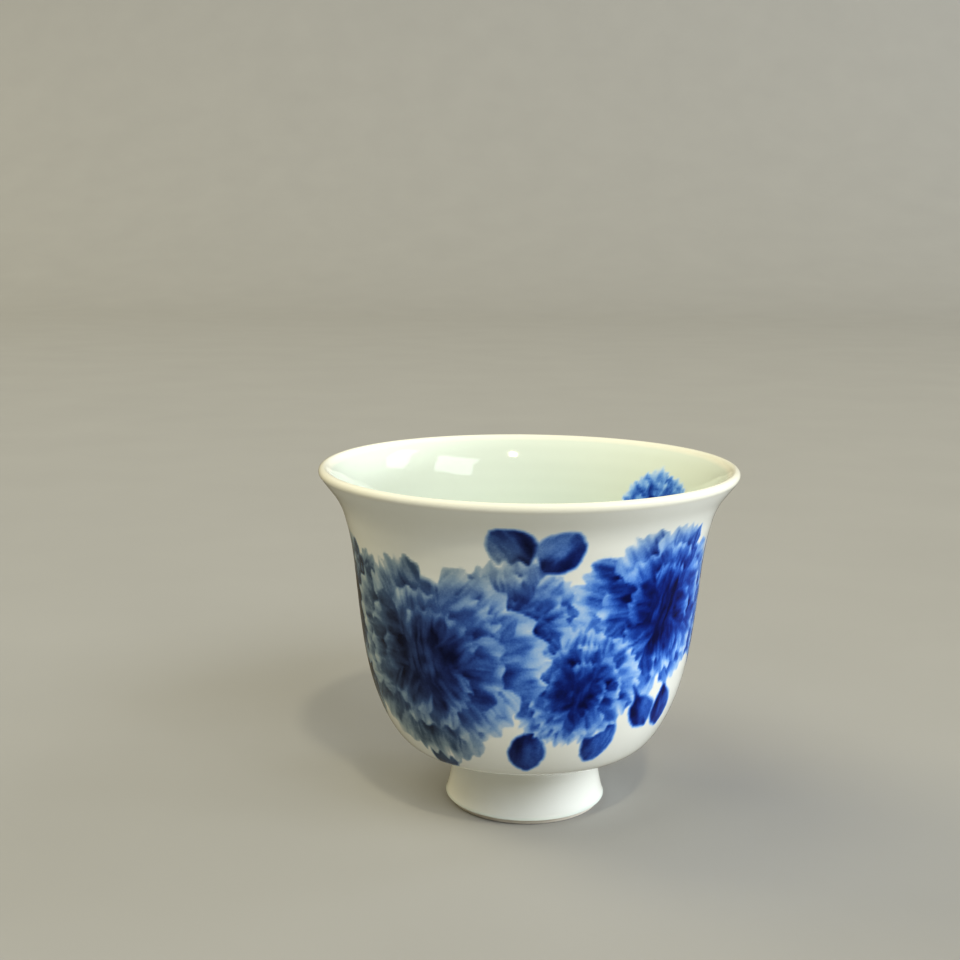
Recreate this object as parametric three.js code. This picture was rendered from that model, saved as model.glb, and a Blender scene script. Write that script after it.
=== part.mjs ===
// A hand-painted porcelain teacup with a flared lip and a turned foot ring. The potter's pieces are a
// thrown bowl and a ring foot luted under it. Three coats of glaze cover them: one outside, one
// inside and one under the base. The edge that the cup stands on is wiped bare before firing.
//
// Millimetres, +Z up. The origin is on the cup's axis, in the plane that it stands on.
import * as THREE from "three";

// ---- Driving dimensions -------------------------------------------------------------------------
const CUP_HEIGHT = 67;
const RIM_RADIUS = 40; // to the outside of the flared lip
const LIP_ROUNDING = 0.95; // radius of the rounded lip, so the lip is twice this thick
const GLAZE = 0.25; // thickness of every coat of glaze
const FLOOR_HEIGHT = 14.6; // inside floor of the cup, at its centre

const FOOT_RADIUS = 15.7; // outside of the foot, just above the edge that it stands on
const FOOT_WAIST_RADIUS = 14.2; // outside of the foot where it meets the bowl
const FOOT_HEIGHT = 11.9; // from the standing plane to the glazed underside of the bowl
const FOOT_FILLET = 1.5; // glaze pooled in the corner between foot and bowl
const FOOT_INSIDE_TOP_RADIUS = 11.8;
const FOOT_INSIDE_LOW_RADIUS = 12.7;
const BARE_EDGE_HEIGHT = 1.0; // the glaze stops this far above the standing plane
const STANDING_INNER_RADIUS = 13.2; // the flat, bare ring that touches the table
const STANDING_OUTER_RADIUS = 14.9;
const RECESS_FILLET = 0.8; // glaze pooled in the corner of the recess under the base

const AROUND = 40; // facets round the axis
const WALL_STEPS = 12; // facets up each side of the wall
const LIP_STEPS = 3; // facets over each half of the lip
const FILLET_STEPS = 3;

// Every solid meets its neighbours in this plane: the top of the foot ring, the underside of the
// bowl, and the back of the glaze that lies against either.
const JOINT_HEIGHT = FOOT_HEIGHT + GLAZE;

// ---- Outlines, as points (radius, height) -------------------------------------------------------
const at = (radius, height) => new THREE.Vector2(radius, height);
const UP = at(0, 1);
const DOWN = at(0, -1);

const arc = (centre, radius, fromDegrees, toDegrees, steps) => {
  const from = THREE.MathUtils.degToRad(fromDegrees);
  const to = THREE.MathUtils.degToRad(toDegrees);
  const curve = new THREE.EllipseCurve(centre.x, centre.y, radius, radius, from, to, to < from);
  return curve.getPoints(steps);
};

const smooth = (knots, steps) => new THREE.SplineCurve(knots).getSpacedPoints(steps);

// The same outline one glaze thickness further in: to the left of the way that its points run.
// The direction is given at its two ends, where a neighbour has to meet it exactly.
const underGlaze = (outline, firstWay, lastWay) =>
  outline.map((point, i) => {
    const last = outline.length - 1;
    const before = outline[Math.max(i - 1, 0)];
    const after = outline[Math.min(i + 1, last)];
    const along = after.clone().sub(before).normalize();
    let way = at(-along.y, along.x);
    if (i === 0) way = firstWay;
    if (i === last) way = lastWay;
    return point.clone().addScaledVector(way, GLAZE);
  });

// Lip: a round bead at the top of the wall. Its crest is where the two coats of glaze meet.
const lipCentre = at(RIM_RADIUS - LIP_ROUNDING, CUP_HEIGHT - LIP_ROUNDING);
const lipOutside = arc(lipCentre, LIP_ROUNDING, -45, 90, LIP_STEPS);
const lipInside = arc(lipCentre, LIP_ROUNDING, 90, 150, LIP_STEPS);

// Outside of the wall, from the foot up: a flat base, a full belly, then a flare to the lip.
const bellyKnots = [
  at(FOOT_WAIST_RADIUS + FOOT_FILLET, FOOT_HEIGHT),
  at(20, 12.2),
  at(24.2, 13.9),
  at(27.3, 18.1),
  at(29.7, 23.8),
  at(31.3, 30.2),
  at(32.3, 37),
  at(33, 43.6),
  at(33.6, 49.6),
  at(34.5, 55),
  at(36.2, 60.4),
  lipOutside[0],
];
const belly = smooth(bellyKnots, WALL_STEPS);
const wallOutside = [...belly, ...lipOutside.slice(1)];
const wallOutsideBody = underGlaze(wallOutside, UP, DOWN);

// Inside of the wall, from the lip down to the middle of the floor.
const lipFoot = lipInside[lipInside.length - 1];
const insideKnots = [
  lipFoot,
  at(36.3, 64.5),
  at(34.2, 60.8),
  at(32.4, 55.4),
  at(31.4, 49.6),
  at(30.7, 43.6),
  at(29.9, 37.2),
  at(28.8, 30.8),
  at(27, 24.8),
  at(24.2, 19.6),
  at(19.4, 16.2),
  at(13, 14.9),
  at(6.5, FLOOR_HEIGHT),
  at(0, FLOOR_HEIGHT),
];
const inside = smooth(insideKnots, WALL_STEPS);
const wallInside = [...lipInside, ...inside.slice(1)];
const wallInsideBody = underGlaze(wallInside, DOWN, DOWN);

// Foot: outside from the bare edge up to the waist, then the pooled corner under the bowl.
const footKnots = [
  at(FOOT_RADIUS, BARE_EDGE_HEIGHT),
  at(15.05, 3.4),
  at(14.5, 6.8),
  at(FOOT_WAIST_RADIUS, FOOT_HEIGHT - FOOT_FILLET),
];
const footSide = smooth(footKnots, FILLET_STEPS);
const footSideBody = underGlaze(footSide, at(-1, 0), at(-1, 0));
const waist = footSideBody[footSideBody.length - 1].x;
const filletCentre = at(FOOT_WAIST_RADIUS + FOOT_FILLET, FOOT_HEIGHT - FOOT_FILLET);
const footFillet = arc(filletCentre, FOOT_FILLET, 180, 90, FILLET_STEPS);
const recessCorner = at(FOOT_INSIDE_TOP_RADIUS - GLAZE - RECESS_FILLET, FOOT_HEIGHT - RECESS_FILLET);
const recessFillet = arc(recessCorner, RECESS_FILLET, 90, 0, FILLET_STEPS);
const recessTop = at(FOOT_INSIDE_TOP_RADIUS, JOINT_HEIGHT);
const recessLow = at(FOOT_INSIDE_LOW_RADIUS, BARE_EDGE_HEIGHT);

// ---- Materials ----------------------------------------------------------------------------------
const porcelain = new THREE.MeshStandardMaterial({ color: 0xe4ddd0, roughness: 0.75, metalness: 0 });
const paintedGlaze = new THREE.MeshStandardMaterial({ color: 0x5a76b8, roughness: 0.12, metalness: 0 });
const linerGlaze = new THREE.MeshStandardMaterial({ color: 0xdde4d8, roughness: 0.12, metalness: 0 });
const clearGlaze = new THREE.MeshStandardMaterial({ color: 0xe2e3da, roughness: 0.15, metalness: 0 });

// ---- Solids -------------------------------------------------------------------------------------
// An outline runs up the outside of its solid, and either closes on itself or starts and ends on the
// axis. The lathe turns it round Y, which is then laid along Z.
const turned = (name, outline, material) => {
  const geometry = new THREE.LatheGeometry(outline, AROUND);
  geometry.rotateX(Math.PI / 2);
  const mesh = new THREE.Mesh(geometry, material);
  mesh.name = name;
  return mesh;
};
const ring = (name, outline, material) => turned(name, [...outline, outline[0]], material);
const back = (outline) => [...outline].reverse();

const bowl = turned(
  "bowl",
  [at(0, JOINT_HEIGHT), ...wallOutsideBody, ...wallInsideBody.slice(1)],
  porcelain,
);

const footRing = ring(
  "foot_ring",
  [
    at(STANDING_INNER_RADIUS, 0),
    at(STANDING_OUTER_RADIUS, 0),
    ...footSideBody,
    at(waist, JOINT_HEIGHT),
    recessTop,
    recessLow,
  ],
  porcelain,
);

const outerGlaze = ring(
  "outer_glaze",
  [
    ...footSide,
    ...footFillet.slice(1),
    ...wallOutside.slice(1),
    ...back(wallOutsideBody),
    at(waist, JOINT_HEIGHT),
    ...back(footSideBody),
  ],
  paintedGlaze,
);

const innerGlaze = turned(
  "inner_glaze",
  [...back(wallInsideBody), ...wallInside],
  linerGlaze,
);

const baseGlaze = turned(
  "base_glaze",
  [
    at(0, FOOT_HEIGHT),
    ...recessFillet,
    at(FOOT_INSIDE_LOW_RADIUS - GLAZE, BARE_EDGE_HEIGHT),
    recessLow,
    recessTop,
    at(0, JOINT_HEIGHT),
  ],
  clearGlaze,
);

const teacup = new THREE.Group();
teacup.name = "teacup";
teacup.add(bowl, footRing, outerGlaze, innerGlaze, baseGlaze);

export default teacup;
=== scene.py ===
"""A porcelain teacup with generic blue peonies: glazes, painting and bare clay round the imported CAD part."""
from math import cos, pi, radians, sin

import bpy
import numpy as np
from mathutils import Euler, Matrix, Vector


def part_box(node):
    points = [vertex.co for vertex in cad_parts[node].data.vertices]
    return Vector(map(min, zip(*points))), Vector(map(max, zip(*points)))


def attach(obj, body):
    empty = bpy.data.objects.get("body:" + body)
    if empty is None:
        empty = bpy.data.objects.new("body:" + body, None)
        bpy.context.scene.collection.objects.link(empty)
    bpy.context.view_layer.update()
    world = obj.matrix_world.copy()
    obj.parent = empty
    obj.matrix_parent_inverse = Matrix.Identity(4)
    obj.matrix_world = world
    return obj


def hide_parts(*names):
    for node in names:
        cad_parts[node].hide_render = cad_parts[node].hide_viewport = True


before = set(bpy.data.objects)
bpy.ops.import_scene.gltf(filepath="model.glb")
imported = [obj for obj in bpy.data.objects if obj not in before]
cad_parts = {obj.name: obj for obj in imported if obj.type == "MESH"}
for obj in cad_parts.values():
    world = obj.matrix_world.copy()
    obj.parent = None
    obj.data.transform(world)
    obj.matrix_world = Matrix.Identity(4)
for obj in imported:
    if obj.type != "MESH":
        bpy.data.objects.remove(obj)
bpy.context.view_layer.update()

# ---- Sizes, in millimetres -----------------------------------------------------------------------
MM = 0.001
outer_low, outer_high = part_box("outer_glaze")
RIM_RADIUS = outer_high.x / MM
CUP_HEIGHT = outer_high.z / MM
BARE_EDGE = outer_low.z / MM  # the glaze stops this far above the table
GLAZE = 0.25  # thickness of a coat of glaze
FLOOR_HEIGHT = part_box("inner_glaze")[0].z / MM + GLAZE
FOOT_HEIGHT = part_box("base_glaze")[1].z / MM - GLAZE  # glazed underside of the bowl
LIP_ROUNDING = 0.95
FOOT_WAIST = 14.2  # the foot's narrowest radius, just under the bowl
FOOT_FILLET = 1.5
RECESS_ROUNDING = 0.8
BEAD_ROUNDING = 0.16  # where the glaze ends over the bare edge
JOINT_HEIGHT = FOOT_HEIGHT + GLAZE
GAP = 0.012  # between a coat of glaze and the clay under it


# ---- Outlines, as rows of (radius, height) -------------------------------------------------------
def arc(centre, radius, start, end, steps=24):
    angles = np.radians(np.linspace(start, end, steps))
    return np.stack([centre[0] + radius * np.cos(angles), centre[1] + radius * np.sin(angles)], 1)


def spline(knots, steps=24):
    """Catmull-Rom curve through the knots."""
    knots = np.array(knots, float)
    padded = np.vstack([2 * knots[0] - knots[1], knots, 2 * knots[-1] - knots[-2]])
    t = np.linspace(0, 1, steps, endpoint=False)[:, None]
    stretches = []
    for a, b, c, d in zip(padded, padded[1:], padded[2:], padded[3:]):
        bend = 2 * a - 5 * b + 4 * c - d
        twist = 3 * b - a - 3 * c + d
        stretches.append(b + 0.5 * t * (c - a + t * (bend + t * twist)))
    return np.vstack([*stretches, knots[-1:]])


def lengths(points):
    """Distance along the outline to each of its points."""
    return np.concatenate([[0], np.cumsum(np.hypot(*np.diff(points, axis=0).T))])


def spaced(points, step):
    """The same outline with a point every `step`."""
    along = lengths(points)
    where = np.linspace(0, along[-1], max(int(round(along[-1] / step)), 1) + 1)
    return np.stack([np.interp(where, along, points[:, k]) for k in (0, 1)], 1)


def sparse(points, step):
    """Every `step`th point of the outline, and its last one."""
    return points[np.unique(np.append(np.arange(0, len(points), step), len(points) - 1))]


def fair(points, reach):
    """The outline with its kinks smoothed out over `reach`, its two ends where they were."""
    per_reach = 8
    fine = spaced(points, reach / per_reach)
    size = min(3 * per_reach, len(fine) - 1)
    weights = np.exp(-0.5 * (np.arange(-size, size + 1) / per_reach) ** 2)
    weights /= weights.sum()
    padded = np.vstack([2 * fine[0] - fine[size:0:-1], fine, 2 * fine[-1] - fine[-2:-size - 2:-1]])
    return np.stack([np.convolve(padded[:, k], weights, "valid") for k in (0, 1)], 1)


def inset(points, depth):
    """The outline moved `depth` to its left."""
    along = np.gradient(points, axis=0)
    along /= np.linalg.norm(along, axis=1, keepdims=True)
    return points + depth * np.stack([-along[:, 1], along[:, 0]], 1)


lip_centre = (RIM_RADIUS - LIP_ROUNDING, CUP_HEIGHT - LIP_ROUNDING)
lip_outside = arc(lip_centre, LIP_ROUNDING, -45, 90)
lip_inside = arc(lip_centre, LIP_ROUNDING, 90, 150)

belly_knots = [(15.7, FOOT_HEIGHT), (20, 12.2), (24.2, 13.9), (27.3, 18.1), (29.7, 23.8), (31.3, 30.2),
               (32.3, 37), (33, 43.6), (33.6, 49.6), (34.5, 55), (36.2, 60.4), tuple(lip_outside[0])]
inside_knots = [tuple(lip_inside[-1]), (36.3, 64.5), (34.2, 60.8), (32.4, 55.4), (31.4, 49.6), (30.7, 43.6),
                (29.9, 37.2), (28.8, 30.8), (27, 24.8), (24.2, 19.6), (19.4, 16.2), (13, 14.9),
                (6.5, FLOOR_HEIGHT), (0, FLOOR_HEIGHT)]
foot_knots = [(15.7, BARE_EDGE), (15.05, 3.4), (14.5, 6.8), (FOOT_WAIST, FOOT_HEIGHT - FOOT_FILLET)]
foot_corner = arc((FOOT_WAIST + FOOT_FILLET, FOOT_HEIGHT - FOOT_FILLET), FOOT_FILLET, 180, 90)
recess_corner = arc((10.75, FOOT_HEIGHT - RECESS_ROUNDING), RECESS_ROUNDING, 90, 0)

wall = fair(np.vstack([fair(spline(belly_knots), 0.5), lip_outside[1:]]), 0.12)
foot_side = fair(np.vstack([spline(foot_knots), foot_corner[1:]]), 0.3)
liner = fair(np.vstack([lip_inside, fair(spline(inside_knots), 0.5)[1:]]), 0.12)
recess = np.vstack([[(0, FOOT_HEIGHT)], recess_corner, [(12.45, BARE_EDGE)]])
wall_lengths = lengths(wall)


def up_wall(height):
    """Distance along the wall, from the corner over the foot, to a height."""
    return np.interp(height, wall[:, 1], wall_lengths)


# ---- Painter -------------------------------------------------------------------------------------
MM_PER_DEGREE = np.radians(1) * 32  # round the belly, whose radius is about 32
ROUND_CUP = 360 * MM_PER_DEGREE
NOISE_ROWS = 97


def smoothstep(low, high, value):
    t = np.clip((value - low) / (high - low), 0, 1)
    return t * t * (3 - 2 * t)


def bell(value, middle, width):
    return np.exp(-((value - middle) / width) ** 2)


def noise(x, y, size, seed):
    """Smooth noise from -1 to 1, with features of about `size` mm, that closes on itself round the cup."""
    columns = max(int(round(ROUND_CUP / size)), 1)
    grid = np.random.default_rng(seed).uniform(-1, 1, (columns, NOISE_ROWS))
    u = x / ROUND_CUP * columns
    v = y / size
    column, row = np.floor(u).astype(int), np.floor(v).astype(int)
    across, up = smoothstep(0, 1, u - column), smoothstep(0, 1, v - row)

    def between(level):
        left = grid[column % columns, level % NOISE_ROWS]
        right = grid[(column + 1) % columns, level % NOISE_ROWS]
        return left * (1 - across) + right * across

    return between(row) * (1 - up) + between(row + 1) * up


def cut_corners(points, share=0.18):
    after = np.roll(points, -1, axis=0)
    cuts = np.stack([points + (after - points) * share, after + (points - after) * share], 1)
    return cuts.reshape(-1, 2)


def edge_distance(x, y, points):
    """Distance in mm from the outline: positive inside."""
    tiny = 1e-12
    inside = np.zeros(x.shape, bool)
    nearest = np.full(x.shape, np.inf)
    for (ax, ay), (bx, by) in zip(points, np.roll(points, -1, axis=0)):
        ex, ey = bx - ax, by - ay
        t = np.clip(((x - ax) * ex + (y - ay) * ey) / (ex * ex + ey * ey + tiny), 0, 1)
        nearest = np.minimum(nearest, np.hypot(x - ax - t * ex, y - ay - t * ey))
        crosses = (ay > y) != (by > y)
        inside ^= crosses & (x < ax + ex * (y - ay) / (ey if ey else tiny))
    return np.where(inside, nearest, -nearest)


def spun(points, turn):
    """Points turned about the origin by `turn` degrees."""
    a = radians(turn)
    return points @ np.array([[cos(a), sin(a)], [-sin(a), cos(a)]])


class Canvas:
    """Ink on the points of a coat, laid down patch by patch in millimetres round the wall and up it."""
    EDGE_SHAKE = ((1.7, 0.2), (0.8, 0.08))  # sizes and depths of the waves in the edge of a patch
    SHAKE_MARGIN = 0.4
    GRAIN_STRETCH = (0.75, 1.3)  # along the strokes and across them
    STROKES = ((0.19, 3, 0.5, 11), (0.13, 0, 1.2, 12))  # scale and shift along the grain, size, seed
    MARK_SPREAD = 0.12
    MARK_FALLOFF = 1.6

    def __init__(self, degrees, up, up_of):
        self.x = degrees * MM_PER_DEGREE
        self.y = up
        self.up_of = up_of
        self.ink = np.zeros_like(self.x)
        self.shake_x = self.shake(1)
        self.shake_y = self.shake(3)

    def shake(self, seed):
        (broad, broad_depth), (fine, fine_depth) = self.EDGE_SHAKE
        broad_waves = broad_depth * noise(self.x, self.y, broad, seed)
        return broad_waves + fine_depth * noise(self.x, self.y, fine, seed + 1)

    def place(self, degrees, height):
        return np.array([degrees * MM_PER_DEGREE, self.up_of(height)])

    def lay(self, outline, marks, soft, grain, streak, melt=0.0):
        """A patch of wash. `marks` are rows of x, y and ink, which blend into each other over it. Its strokes
        run at `grain` degrees and are `streak` strong, and it fades in over the share `melt` of them."""
        outline = cut_corners(outline)
        x = self.x + ROUND_CUP * np.round((outline[:, 0].mean() - self.x) / ROUND_CUP)
        margin = soft + self.SHAKE_MARGIN
        low, high = outline.min(0) - margin, outline.max(0) + margin
        near = np.nonzero((x > low[0]) & (x < high[0]) & (self.y > low[1]) & (self.y < high[1]))
        x = x[near] + self.shake_x[near]
        y = self.y[near] + self.shake_y[near]
        here = spun(np.stack([x, y], 1), -grain) * self.GRAIN_STRETCH
        at = spun(marks[:, :2], -grain) * self.GRAIN_STRETCH
        weight = 1 / (((here[:, None] - at) ** 2).sum(2) + self.MARK_SPREAD) ** self.MARK_FALLOFF
        weight /= weight.sum(1, keepdims=True)
        tone = weight @ marks[:, 2]
        along, across = here[:, 0], here[:, 1] / self.GRAIN_STRETCH[1]
        strokes = 0
        for scale, shift, size, seed in self.STROKES:
            strokes = strokes + noise(along * scale + shift, across, size, seed)
        middle_tone = np.clip(tone * (1 - tone), 0, 1)
        tone = tone + streak * strokes * (0.35 + 2.4 * middle_tone)
        cover = smoothstep(-soft, soft, edge_distance(x, y, outline))
        if melt:
            ends = spun(outline, -grain)[:, 0] * self.GRAIN_STRETCH[0]
            cover = cover * smoothstep(-0.02, melt, (along - ends.min()) / np.ptp(ends))
        self.ink[near] = self.ink[near] * (1 - cover) + np.clip(tone, 0, 1) * cover


def stamp(canvas, outline, marks, root, turn, size, soft, streak, melt=0.0):
    """Lay a patch that is drawn from (0, 0) towards (1, 0): scaled, turned and moved to its root."""
    marks[:, :2] = root + spun(marks[:, :2] * size, turn)
    canvas.lay(root + spun(outline * size, turn), marks, soft, turn, streak, melt)


def petal(canvas, root, turn, size, tones, seed):
    """One petal with a torn tip."""
    dice = np.random.default_rng(seed)
    points = 2 * dice.integers(4, 7) + 1
    across = np.linspace(-0.46, 0.46, points)
    tears = np.where(np.arange(points) % 2, 0, 0.13)
    tip = 1 - 0.9 * across ** 2 - tears + dice.uniform(-0.05, 0.05, points)
    side = np.array([(0, -0.1), (0.3, -0.36), (0.62, -0.5)])
    outline = np.vstack([side, np.stack([tip, across], 1), side[::-1] * (1, -1)])
    base, body, edge = tones
    marks = np.array([(0.05, 0, base), (0.35, -0.2, base), (0.4, 0.22, body), (0.65, -0.3, body),
                      (0.62, 0.1, body - 0.08), (0.9, -0.25, edge), (0.95, 0.05, edge),
                      (0.85, 0.3, edge + 0.08), (0.7, 0.42, edge + 0.2)])
    marks[:, 2] += dice.uniform(-0.06, 0.06, len(marks))
    stamp(canvas, outline, marks, root, turn, size, soft=0.3, streak=0.13, melt=0.35)


def wash(canvas, middle, reach, tone, grain, seed):
    """A soft pool of wash, with an uneven edge."""
    dice = np.random.default_rng(seed)
    around = np.radians(np.arange(0, 360, 24))
    uneven = dice.uniform(0.84, 1.08, len(around))
    outline = middle + np.stack([np.cos(around), np.sin(around)], 1) * reach * uneven[:, None]
    outer_marks = middle + 0.7 * (outline - middle)[::3]
    outer_tones = tone - 0.12 + dice.uniform(-0.1, 0.1, len(outer_marks))
    marks = np.vstack([[*middle, tone], np.column_stack([outer_marks, outer_tones])])
    canvas.lay(outline, marks, soft=0.9, grain=grain, streak=0.16)


# rings of petals: distance from the middle, length, width, number, tones of base, body and edge
PETAL_RINGS = [(0.40, 0.62, 0.78, 8, (0.93, 0.62, 0.1)), (0.24, 0.54, 0.66, 7, (0.97, 0.76, 0.2)),
               (0.09, 0.46, 0.5, 5, (1.0, 0.9, 0.42))]


def peony(canvas, degrees, height, size, seed, lean):
    """A full flower: a soft ground, rings of torn petals from the outside in, and a deep heart."""
    dice = np.random.default_rng(seed)
    middle = canvas.place(degrees, height)
    wash(canvas, middle, (0.84 * size, 0.74 * size), 0.9, lean, seed)
    for start, reach, width, count, tones in PETAL_RINGS:
        for k in dice.permutation(count):
            turn = lean + 360 * (k + dice.uniform(-0.25, 0.25)) / count
            root = middle + start * size * np.array([cos(radians(turn)), 0.86 * sin(radians(turn))])
            length = reach * size * dice.uniform(0.8, 1.1)
            turn += dice.uniform(-14, 14)
            breadth = width * size * dice.uniform(0.8, 1.15)
            petal(canvas, root, turn, (length, breadth), tones, seed * 100 + int(k) + 20 * count)
    wash(canvas, middle, (0.17 * size, 0.14 * size), 0.98, lean, seed + 1)


def leaf(canvas, degrees, height, turn, length, width, tone, seed):
    """A broad leaf, dark along one side, with a short stem."""
    dice = np.random.default_rng(seed)
    outline = np.array([(-0.3, -0.03), (0, -0.06), (0.2, -0.36), (0.5, -0.5), (0.78, -0.34), (1, 0.04),
                        (0.84, 0.3), (0.56, 0.48), (0.24, 0.4), (0, 0.06), (-0.3, 0.03)])
    outline[1:-1] += dice.uniform(-0.04, 0.04, (9, 2))
    marks = np.array([(0.05, 0, 0.95), (0.3, -0.28, 0.96), (0.6, -0.36, 0.9), (0.9, 0, 0.8),
                      (0.5, 0.04, tone), (0.4, 0.3, tone - 0.06), (0.7, 0.2, tone)])
    stamp(canvas, outline, marks, canvas.place(degrees, height), turn, (length, width), soft=0.5, streak=0.07)


# ---- Painting ------------------------------------------------------------------------------------
# leaves: degrees from the front, height, turn, length, width, tone, seed
LEAVES_BEHIND = [
    (0, 55, 122, 9, 8.6, 0.58, 21), (4, 54.5, 48, 9.5, 8.6, 0.55, 22), (-26, 19, 215, 10, 7.4, 0.7, 23),
    (2, 24, 262, 10, 8.4, 0.72, 24), (30, 26, 250, 11, 7.4, 0.64, 25), (54, 29, 282, 9, 6.6, 0.7, 26),
    (108, 55, 110, 8, 6.4, 0.55, 1), (119, 52, 40, 9, 6.4, 0.62, 2), (108, 22, 255, 9, 6, 0.66, 3),
    (151, 21, 240, 10, 6.4, 0.62, 4), (150, 52, 105, 9.4, 7, 0.5, 5), (201, 52, 80, 9.4, 7.4, 0.6, 6),
    (210, 50, 40, 9.4, 7, 0.66, 7), (201, 21, 290, 9, 6, 0.6, 8), (243, 20, 260, 9, 6, 0.62, 9),
    (242, 52, 115, 9.4, 7, 0.56, 10)]
LEAVES_OVER = [
    (127, 46, 60, 10.4, 8, 0.5, 11), (240, 48, 130, 10.4, 8, 0.56, 12), (153, 19, 290, 8, 5.4, 0.7, 13),
    (40, 29, 300, 9, 6.8, 0.66, 27)]
# flowers: degrees from the front, height, size, seed, lean
OUTSIDE_FLOWERS = [
    (284, 33, 16, 46, 240), (132, 29, 14, 45, 250), (92, 42, 17, 41, 60), (222, 31, 16, 44, 280),
    (176, 38, 20, 42, 100), (257.5, 37, 16.5, 43, 80), (-66, 42, 15, 54, 110), (-5, 43, 14, 55, 90),
    (47, 45, 18.5, 52, 70), (17, 32, 12.5, 53, 80), (-34, 36, 22, 51, 100)]
INSIDE_FLOWER = (124, 52, 11.5, 46, 80)
# greyer washes of painted shade: strength, degrees from the front, reach in degrees, height, reach in height
PAINTED_SHADE_WASHES = [(0.45, -5, 13, 55, 6), (0.4, -22, 24, 19, 7), (0.5, 38, 24, 61, 5), (0.4, 17, 8, 17, 5),
                (0.4, -26, 16, 56, 6)]


def paint_outside(canvas):
    for place in LEAVES_BEHIND:
        leaf(canvas, *place)
    for place in OUTSIDE_FLOWERS:
        peony(canvas, *place)
    for place in LEAVES_OVER:
        leaf(canvas, *place)


def painted_shade_share(degrees, height):
    """How far the cobalt is painted greyer and darker as painted shade: all over the dim left side, and in a
    few washes under the lip and low on the belly.
    """
    share = 0.85 * bell(degrees, -62, 44)
    for strength, around, reach, up, rise in PAINTED_SHADE_WASHES:
        share = share + strength * bell(degrees, around, reach) * bell(height, up, rise)
    return share


# ---- Meshes --------------------------------------------------------------------------------------
OVAL = 0.09
THREE_SIDED = 0.035
THROWING_RINGS = 0.012
LIP_WARP = 0.10


def thrown(radius, height, angle):
    """Where a point of the perfect lathe form lies on a cup that wheel and kiln leave a little untrue."""
    rise = np.clip(height / CUP_HEIGHT, 0, 1)
    sway = OVAL * rise ** 2 * np.sin(2 * angle + 0.7) + THREE_SIDED * rise * np.sin(3 * angle + 2.1)
    rings = THROWING_RINGS * rise * np.sin(height * 1.9 + 0.25 * np.sin(angle)) * np.clip(radius / 20, 0, 1)
    warp = LIP_WARP * rise ** 6 * np.sin(2 * angle + 1.9)
    outward = np.clip(radius / 12, 0, 1)
    return radius + outward * (sway + rings), height + warp


def every(columns):
    """Degrees from the front of evenly spaced columns of points."""
    return np.arange(columns) * 360 / columns


def turned(name, outline, degrees, closed=False):
    """The outline turned round Z, with a column of points at each of `degrees` from the front. It starts and
    ends on the axis, or closes on itself."""
    columns = len(degrees)
    angles = np.radians(degrees) - pi / 2
    points, rows = [], []
    for radius, height in np.array(outline, float):
        start = sum(len(row) for row in points)
        if radius < 1e-6:
            points.append(np.array([[0, 0, height]]))
            rows.append(np.full(columns, start))
            continue
        r, z = thrown(radius, height, angles)
        points.append(np.stack([r * np.cos(angles), r * np.sin(angles), z], 1))
        rows.append(start + np.arange(columns))
    if closed:
        rows.append(rows[0])
    faces = []
    for low, high in zip(rows, rows[1:]):
        quads = np.stack([low, np.roll(low, -1), np.roll(high, -1), high], 1)
        if low[0] == low[1]:
            quads = quads[:, [0, 2, 3]]
        elif high[0] == high[1]:
            quads = quads[:, :3]
        faces += quads.tolist()
    mesh = bpy.data.meshes.new(name)
    mesh.from_pydata((np.vstack(points) * MM).tolist(), [], faces)
    mesh.shade_smooth()
    mesh.set_sharp_from_angle(angle=radians(50))
    piece = bpy.data.objects.new(name, mesh)
    bpy.context.collection.objects.link(piece)
    return piece


def point_values(piece, name, values):
    attribute = piece.data.attributes.new(name, "FLOAT", "POINT")
    attribute.data.foreach_set("value", np.asarray(values, np.float32))


def points_of(piece):
    """Radius, height and degrees from the front of each point of a piece, in millimetres."""
    places = np.zeros(len(piece.data.vertices) * 3)
    piece.data.vertices.foreach_get("co", places)
    x, y, z = places.reshape(-1, 3).T / MM
    return np.hypot(x, y), z, np.degrees(np.arctan2(x, -y))


# ---- Materials -----------------------------------------------------------------------------------
COLOUR_A, COLOUR_B, MIXED_COLOUR = 6, 7, 2  # a Mix node's sockets for colours


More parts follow.
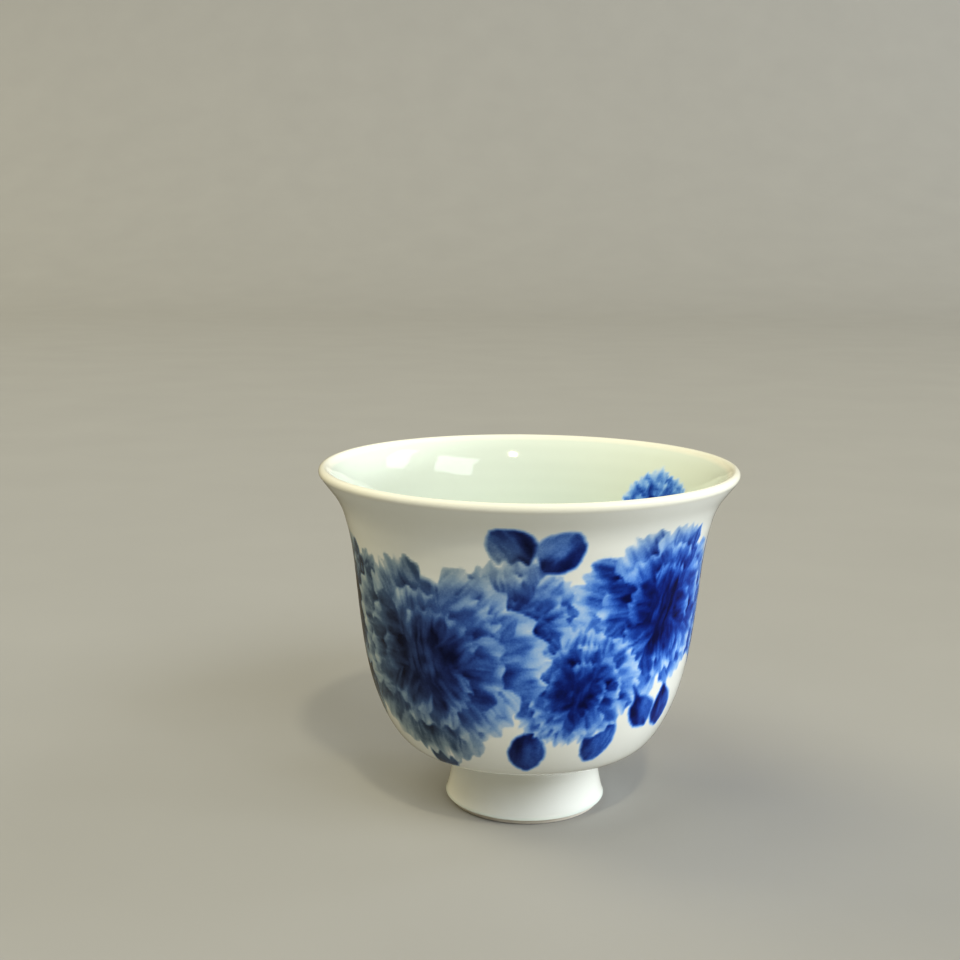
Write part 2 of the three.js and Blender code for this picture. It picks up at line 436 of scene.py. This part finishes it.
class Shader:
    """A new material with short ways to add and join nodes."""

    def __init__(self, name, roughness, specular):
        self.material = bpy.data.materials.new(name)
        self.material.use_nodes = True
        self.nodes = self.material.node_tree.nodes
        self.links = self.material.node_tree.links
        self.surface = self.nodes["Principled BSDF"]
        self.surface.inputs["Roughness"].default_value = roughness
        self.surface.inputs["Specular IOR Level"].default_value = specular
        self.place = self.nodes.new("ShaderNodeTexCoord").outputs["Object"]

    def link(self, value, socket):
        if isinstance(value, bpy.types.NodeSocket):
            self.links.new(value, socket)
        else:
            socket.default_value = value

    def noise(self, size, detail=2.0, roughness=0.5):
        """Noise with features of about `size` millimetres, from 0 to 1."""
        texture = self.nodes.new("ShaderNodeTexNoise")
        texture.inputs["Scale"].default_value = 1 / (size * MM)
        texture.inputs["Detail"].default_value = detail
        texture.inputs["Roughness"].default_value = roughness
        self.links.new(self.place, texture.inputs["Vector"])
        return texture.outputs["Fac"]

    def value(self, name):
        node = self.nodes.new("ShaderNodeAttribute")
        node.attribute_name = name
        return node.outputs["Fac"]

    def math(self, operation, *values):
        node = self.nodes.new("ShaderNodeMath")
        node.operation = operation
        for value, socket in zip(values, node.inputs):
            self.link(value, socket)
        return node.outputs["Value"]

    def scaled(self, source, low, high, to_low, to_high):
        node = self.nodes.new("ShaderNodeMapRange")
        for value, socket in zip((source, low, high, to_low, to_high), node.inputs):
            self.link(value, socket)
        return node.outputs["Result"]

    def ramp(self, source, *stops):
        node = self.nodes.new("ShaderNodeValToRGB")
        band = node.color_ramp.elements
        while len(band) < len(stops):
            band.new(0.5)
        for element, (position, colour) in zip(band, stops):
            element.position = position
            element.color = (*colour, 1)
        self.links.new(source, node.inputs["Fac"])
        return node.outputs["Color"]

    def mix(self, share, first, second):
        node = self.nodes.new("ShaderNodeMix")
        node.data_type = "RGBA"
        self.link(share, node.inputs["Factor"])
        for colour, place in ((first, COLOUR_A), (second, COLOUR_B)):
            plain = not isinstance(colour, bpy.types.NodeSocket)
            self.link((*colour, 1) if plain else colour, node.inputs[place])
        return node.outputs[MIXED_COLOUR]

    def specks(self, size, spacing, colour_under, colour):
        """Rare round specks of iron, `size` across."""
        cells = self.nodes.new("ShaderNodeTexVoronoi")
        cells.inputs["Scale"].default_value = 1 / (spacing * MM)
        self.links.new(self.place, cells.inputs["Vector"])
        dot = self.scaled(cells.outputs["Distance"], size / spacing * 0.3, size / spacing * 0.6, 1.0, 0.0)
        return self.mix(dot, colour_under, colour)

    def bump(self, height, depth, strength):
        node = self.nodes.new("ShaderNodeBump")
        node.inputs["Strength"].default_value = strength
        node.inputs["Distance"].default_value = depth * MM
        self.links.new(height, node.inputs["Height"])
        self.links.new(node.outputs["Normal"], self.surface.inputs["Normal"])

    def coloured(self, socket):
        self.links.new(socket, self.surface.inputs["Base Color"])
        return self.material


THIN_GLAZE = (0.90, 0.89, 0.78)  # over an edge, where it lies thin and the clay warms it
DEEP_GLAZE = (0.60, 0.70, 0.66)  # pooled in a corner, where its green shows; spread wide over the foot's top under the bowl it is also painted shade
CLOUDY_GLAZE = (0.70, 0.72, 0.66)
# EVEN_GLAZE, MINT_GLAZE and BRIGHT_GLAZE are one clear glaze: the outside copy is made lighter as painted
# light and the inside copy darker as painted shade; the inside's mint tint is the glaze's own
EVEN_GLAZE = (0.79, 0.82, 0.77)
MINT_GLAZE = (0.72, 0.79, 0.71)
BRIGHT_GLAZE = (0.86, 0.88, 0.84)
IRON_IN_GLAZE = (0.25, 0.19, 0.13)
IRON_IN_CLAY = (0.22, 0.17, 0.12)
PALE_CLAY = (0.80, 0.76, 0.68)
WARM_CLAY = (0.72, 0.66, 0.56)
FLASHED_CLAY = (0.70, 0.50, 0.34)
WORN_CLAY = (0.62, 0.57, 0.50)
# wash of cobalt, from thin to thick
COBALT = [(0.05, (0.62, 0.76, 0.95)), (0.12, (0.46, 0.65, 0.95)), (0.22, (0.31, 0.53, 0.93)),
          (0.36, (0.15, 0.35, 0.85)), (0.50, (0.06, 0.20, 0.70)), (0.64, (0.020, 0.095, 0.50)),
          (0.78, (0.006, 0.038, 0.31)), (0.90, (0.002, 0.012, 0.16)), (1.0, (0.001, 0.003, 0.045))]
# cobalt turned grey and dark: painted shade on the dim left side, under the lip and low on the belly
SHADED_COBALT = [(0.0, (0.60, 0.66, 0.64)), (0.3, (0.27, 0.35, 0.37)), (0.6, (0.07, 0.11, 0.13)),
         (1.0, (0.003, 0.006, 0.014))]


def glaze(shader, even):
    """The colour of the clear glaze over porcelain, by how thick it lies, and darker on the foot's top under
    the bowl as painted shade.
    """
    uneven = shader.scaled(shader.noise(9), 0.3, 0.7, -0.04, 0.04)
    glaze_tone = shader.math("ADD", shader.value("glaze_tone"), uneven)
    plain = shader.ramp(glaze_tone, (0.0, THIN_GLAZE), (0.35, even), (0.6, even), (1.0, DEEP_GLAZE))
    cloudy = shader.scaled(shader.noise(2.2, 3), 0.3, 0.7, 0.0, 0.06)
    plain = shader.mix(cloudy, plain, CLOUDY_GLAZE)
    return shader.specks(0.16, 6.5, plain, IRON_IN_GLAZE)


def brushed(shader, plain):
    """Cobalt wash over the plain glaze, as dark as `ink` says, with the grain that a wash dries to."""
    ink = shader.value("ink")
    middle = shader.math("MULTIPLY", ink, shader.math("SUBTRACT", 1.06, ink))
    fine = shader.scaled(shader.noise(0.35, 2), 0.3, 0.7, -0.12, 0.12)
    broad = shader.scaled(shader.noise(1.3, 3), 0.3, 0.7, -0.16, 0.16)
    ink = shader.math("ADD", ink, shader.math("MULTIPLY", middle, shader.math("ADD", fine, broad)))
    cobalt = shader.ramp(ink, (0.0, COBALT[0][1]), *COBALT)
    # the greyer, darker cobalt mixed in here is painted shade
    cobalt = shader.mix(shader.value("painted_shade"), cobalt, shader.ramp(ink, *SHADED_COBALT))
    return shader.mix(shader.scaled(ink, 0.0, 0.10, 0.0, 1.0), plain, cobalt)


def painted_glaze():
    shader = Shader("painted_glaze", roughness=0.05, specular=0.25)
    shader.bump(shader.noise(5, 2), 0.05, 0.35)
    return shader.coloured(brushed(shader, glaze(shader, BRIGHT_GLAZE)))


def liner_glaze():
    shader = Shader("liner_glaze", roughness=0.06, specular=0.45)
    shader.bump(shader.noise(6, 2), 0.05, 0.3)
    return shader.coloured(brushed(shader, glaze(shader, MINT_GLAZE)))


def clear_glaze():
    shader = Shader("clear_glaze", roughness=0.09, specular=0.45)
    shader.bump(shader.noise(3, 3), 0.06, 0.4)
    return shader.coloured(glaze(shader, EVEN_GLAZE))


def bare_porcelain():
    shader = Shader("bare_porcelain", roughness=0.8, specular=0.3)
    grain = shader.noise(0.16, 4, 0.7)
    shader.bump(grain, 0.03, 0.5)
    warm = shader.scaled(shader.noise(2.5, 4), 0.35, 0.7, 0.0, 0.5)
    body = shader.mix(warm, PALE_CLAY, WARM_CLAY)
    flashed = shader.mix(shader.value("flash"), body, FLASHED_CLAY)
    worn = shader.mix(shader.scaled(grain, 0.55, 0.8, 0.0, 0.6), flashed, WORN_CLAY)
    return shader.coloured(shader.specks(0.2, 3.5, worn, IRON_IN_CLAY))


def floor_paper():
    shader = Shader("floor_paper", roughness=0.85, specular=0.1)
    return shader.coloured(shader.mix(shader.noise(60, 3), (0.33, 0.328, 0.322), (0.36, 0.357, 0.35)))


# ---- Pieces --------------------------------------------------------------------------------------
AXIS = 1e-6  # a radius smaller than this lies on the axis
EVEN_THICKNESS = 0.47  # glaze that lies neither thin nor deep


def coat(name, front, degrees, finish):
    """A coat of glaze: its shining front, and a sparser back against the clay."""
    back = sparse(inset(front, GLAZE - GAP), 8)
    ends_on_axis = front[-1, 0] < AXIS
    starts_on_axis = front[0, 0] < AXIS
    outline = np.vstack([back[::-1], front]) if ends_on_axis else np.vstack([front, back[::-1]])
    piece = turned(name, outline, degrees, closed=not (ends_on_axis or starts_on_axis))
    piece.data.materials.append(finish)
    return piece


def outer_coat():
    bead = arc((15.56, BARE_EDGE + BEAD_ROUNDING), BEAD_ROUNDING, -90, 0, 6)
    side = spaced(foot_side[foot_side[:, 1] > BARE_EDGE + 0.35], 0.5)
    lip = np.searchsorted(wall[:, 1], CUP_HEIGHT - 2.2)
    front = np.vstack([bead, side, spaced(wall[:lip + 1], 0.42)[1:], spaced(wall[lip:], 0.2)[1:]])
    fine = np.linspace(-90, 90, 460, endpoint=False)
    coarse = np.linspace(90, 270, 220, endpoint=False)
    piece = coat("outer_glaze_coat", front, np.concatenate([fine, coarse]), painted_glaze())
    radius, height, degrees = points_of(piece)
    canvas = Canvas(degrees, up_wall(height), up_wall)
    paint_outside(canvas)
    point_values(piece, "ink", np.where(height > FOOT_HEIGHT + 0.02, np.clip(canvas.ink, 0, 1), 0))
    # how far the cobalt is greyed and darkened as painted shade
    point_values(piece, "painted_shade", painted_shade_share(degrees, height))
    on_lip = smoothstep(CUP_HEIGHT - 2.6, CUP_HEIGHT - 0.6, height)
    # real pooled glaze in the corner over the foot, spread wide over the foot's top as painted shade of the
    # bowl
    darker_corner = bell(height, FOOT_HEIGHT, 2.2) * bell(radius, 14.6, 1.6)
    bead_pool = 0.7 * bell(height, BARE_EDGE + 0.3, 0.4)
    glaze_tone = EVEN_THICKNESS * (1 - on_lip) + 0.5 * (darker_corner + bead_pool)
    point_values(piece, "glaze_tone", np.clip(glaze_tone, 0, 1))
    return piece


def inner_coat():
    lip = int(np.argmax(lengths(liner) > 4.5))
    front = np.vstack([spaced(liner[:lip + 1], 0.2), spaced(liner[lip:], 0.6)[1:]])
    piece = coat("inner_glaze_coat", front, every(480), liner_glaze())
    radius, height, degrees = points_of(piece)
    canvas = Canvas(degrees, height, up_of=float)
    peony(canvas, *INSIDE_FLOWER)
    point_values(piece, "ink", np.where(radius > 24, np.clip(canvas.ink, 0, 1), 0))
    on_lip = smoothstep(CUP_HEIGHT - 1.6, CUP_HEIGHT - 0.4, height)
    floor_pool = bell(radius, 21, 4.5) * (height < 22)
    point_values(piece, "glaze_tone", np.clip(EVEN_THICKNESS * (1 - on_lip) + 0.42 * floor_pool, 0, 1))
    return piece


def base_coat():
    front = np.vstack([spaced(recess[:-1], 0.4), spaced(recess[-2:], 0.5)[1:]])
    piece = coat("base_glaze_coat", front, every(240), clear_glaze())
    radius, height, _ = points_of(piece)
    darker_corner = bell(radius, 11.4, 0.9) * bell(height, FOOT_HEIGHT - 0.3, 1.2)
    edge_pool = 0.5 * bell(height, BARE_EDGE, 0.5)
    point_values(piece, "glaze_tone", np.clip(0.45 + 0.5 * (darker_corner + edge_pool), 0, 1))
    return piece


def thrown_bowl(clay):
    outside = spaced(inset(wall, GLAZE), 1.2)
    inside = spaced(inset(liner, GLAZE), 1.2)
    piece = turned("thrown_bowl", np.vstack([[(0, outside[0, 1])], outside, inside[1:]]), every(180))
    point_values(piece, "flash", np.zeros(len(piece.data.vertices)))
    piece.data.materials.append(clay)
    return piece


def turned_foot_ring(clay):
    side = inset(spaced(spline(foot_knots), 0.5), GLAZE)
    side = side[side[:, 1] > BARE_EDGE]
    top = JOINT_HEIGHT - GAP
    edge = np.array([(14.05, 0), (14.9, 0), *side, (side[-1, 0], top), (11.8 + GAP, top), (12.7 + GAP, 1),
                     (13.2, 0), (14.05, 0)])
    outline = sparse(fair(edge, 0.22), 5)
    piece = turned("turned_foot_ring", outline[:-1], every(360), closed=True)
    _, height, degrees = points_of(piece)
    uneven = 0.25 + 0.2 * noise(degrees * MM_PER_DEGREE, height, 6, 31)
    point_values(piece, "flash", np.clip(bell(height, BARE_EDGE, 0.35) * uneven, 0, 1))
    piece.data.materials.append(clay)
    return piece


# ---- Stage, in metres ----------------------------------------------------------------------------
CAMERA_PLACE = (0, -0.2543, 0.1098)
CAMERA_TURN = (79.72, -0.334, 2.153)  # degrees
LENS = 50.37
AIM = Vector((0, 0, 0.04))  # the middle of the cup
SHADE = (0.12, 0.098, 0.054, 1)  # what the room adds to the cup
BACKDROP = (0.46, 0.45, 0.42, 1)  # what the camera sees past the floor


def floor():
    """A sheet of paper that lies flat under the cup and curves up far behind it."""
    bend, turn, top = 1.6, 1.0, 4
    section = [(depth, 0) for depth in (-6, -1, -0.3, 0, 0.3, 1)]
    section += [(bend + turn * sin(a), turn - turn * cos(a)) for a in np.radians(np.arange(0, 91, 6))]
    section += [(bend + turn, top)]
    sides = (-6, -1, -0.3, 0, 0.3, 1, 6)
    points = [(x, y, z) for y, z in section for x in sides]
    width = len(sides)
    faces = []
    for row in range(len(section) - 1):
        for k in range(row * width, row * width + width - 1):
            faces.append((k, k + 1, k + width + 1, k + width))
    mesh = bpy.data.meshes.new("floor")
    mesh.from_pydata(points, [], faces)
    mesh.shade_smooth()
    mesh.materials.append(floor_paper())
    sheet = bpy.data.objects.new("floor", mesh)
    sheet.location.z = -0.02 * MM
    sheet.visible_glossy = False
    bpy.context.collection.objects.link(sheet)


def window(name, around, up, width, height, watts, colour, mirrored):
    """A soft light, `around` degrees from the front and `up` degrees above the table, that faces the cup."""
    distance = 5
    light = bpy.data.lights.new(name, "AREA")
    light.shape = "RECTANGLE"
    light.size = width
    light.size_y = height
    light.energy = watts
    light.color = colour
    lamp = bpy.data.objects.new(name, light)
    a, e = radians(around), radians(up)
    away = Vector((sin(a) * cos(e), -cos(a) * cos(e), sin(e)))
    lamp.location = away * distance + AIM
    lamp.rotation_euler = away.to_track_quat("Z", "Y").to_euler()
    lamp.visible_glossy = mirrored
    bpy.context.collection.objects.link(lamp)


def lights():
    window("overhead", -60, 66, 3.0, 3.0, 100, (1.0, 0.99, 0.82), mirrored=False)
    window("right_window", 108, 38, 1.3, 1.8, 25, (0.94, 0.98, 1.0), mirrored=True)
    window("low_right", 98, 4.4, 3.0, 0.6, 190, (0.94, 0.98, 1.0), mirrored=False)
    window("front_window", 58, 38, 2.3, 1.6, 62, (0.91, 0.97, 1.0), mirrored=True)
    window("front_fill", 30, 38, 2.5, 2.0, 90, (0.92, 0.97, 1.0), mirrored=False)
    window("left_wall", -112, 34, 2.5, 2.5, 96, (1.0, 0.88, 0.56), mirrored=False)
    window("lamp", 14, 54, 0.3, 0.3, 56, (1.0, 0.90, 0.62), mirrored=True)


def room():
    world = bpy.data.worlds.new("room")
    bpy.context.scene.world = world
    world.use_nodes = True
    nodes, links = world.node_tree.nodes, world.node_tree.links
    seen = nodes.new("ShaderNodeMix")
    seen.data_type = "RGBA"
    seen.inputs[COLOUR_A].default_value = SHADE
    seen.inputs[COLOUR_B].default_value = BACKDROP
    links.new(nodes.new("ShaderNodeLightPath").outputs["Is Camera Ray"], seen.inputs["Factor"])
    links.new(seen.outputs[MIXED_COLOUR], nodes["Background"].inputs["Color"])


def camera():
    data = bpy.data.cameras.new("camera")
    data.lens = LENS
    data.sensor_width = 36
    eye = bpy.data.objects.new("camera", data)
    eye.location = CAMERA_PLACE
    eye.rotation_euler = Euler([radians(angle) for angle in CAMERA_TURN])
    bpy.context.collection.objects.link(eye)
    bpy.context.scene.camera = eye


camera()
lights()
room()
floor()
bpy.context.scene.view_settings.view_transform = "Standard"
clay = bare_porcelain()
for piece, node, slot in ((outer_coat(), "outer_glaze", "painted_glaze"),
                          (inner_coat(), "inner_glaze", "liner_glaze"),
                          (base_coat(), "base_glaze", "clear_glaze"),
                          (thrown_bowl(clay), "bowl", "porcelain_body"),
                          (turned_foot_ring(clay), "foot_ring", "porcelain_body")):
    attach(piece, "root")
    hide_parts(node)
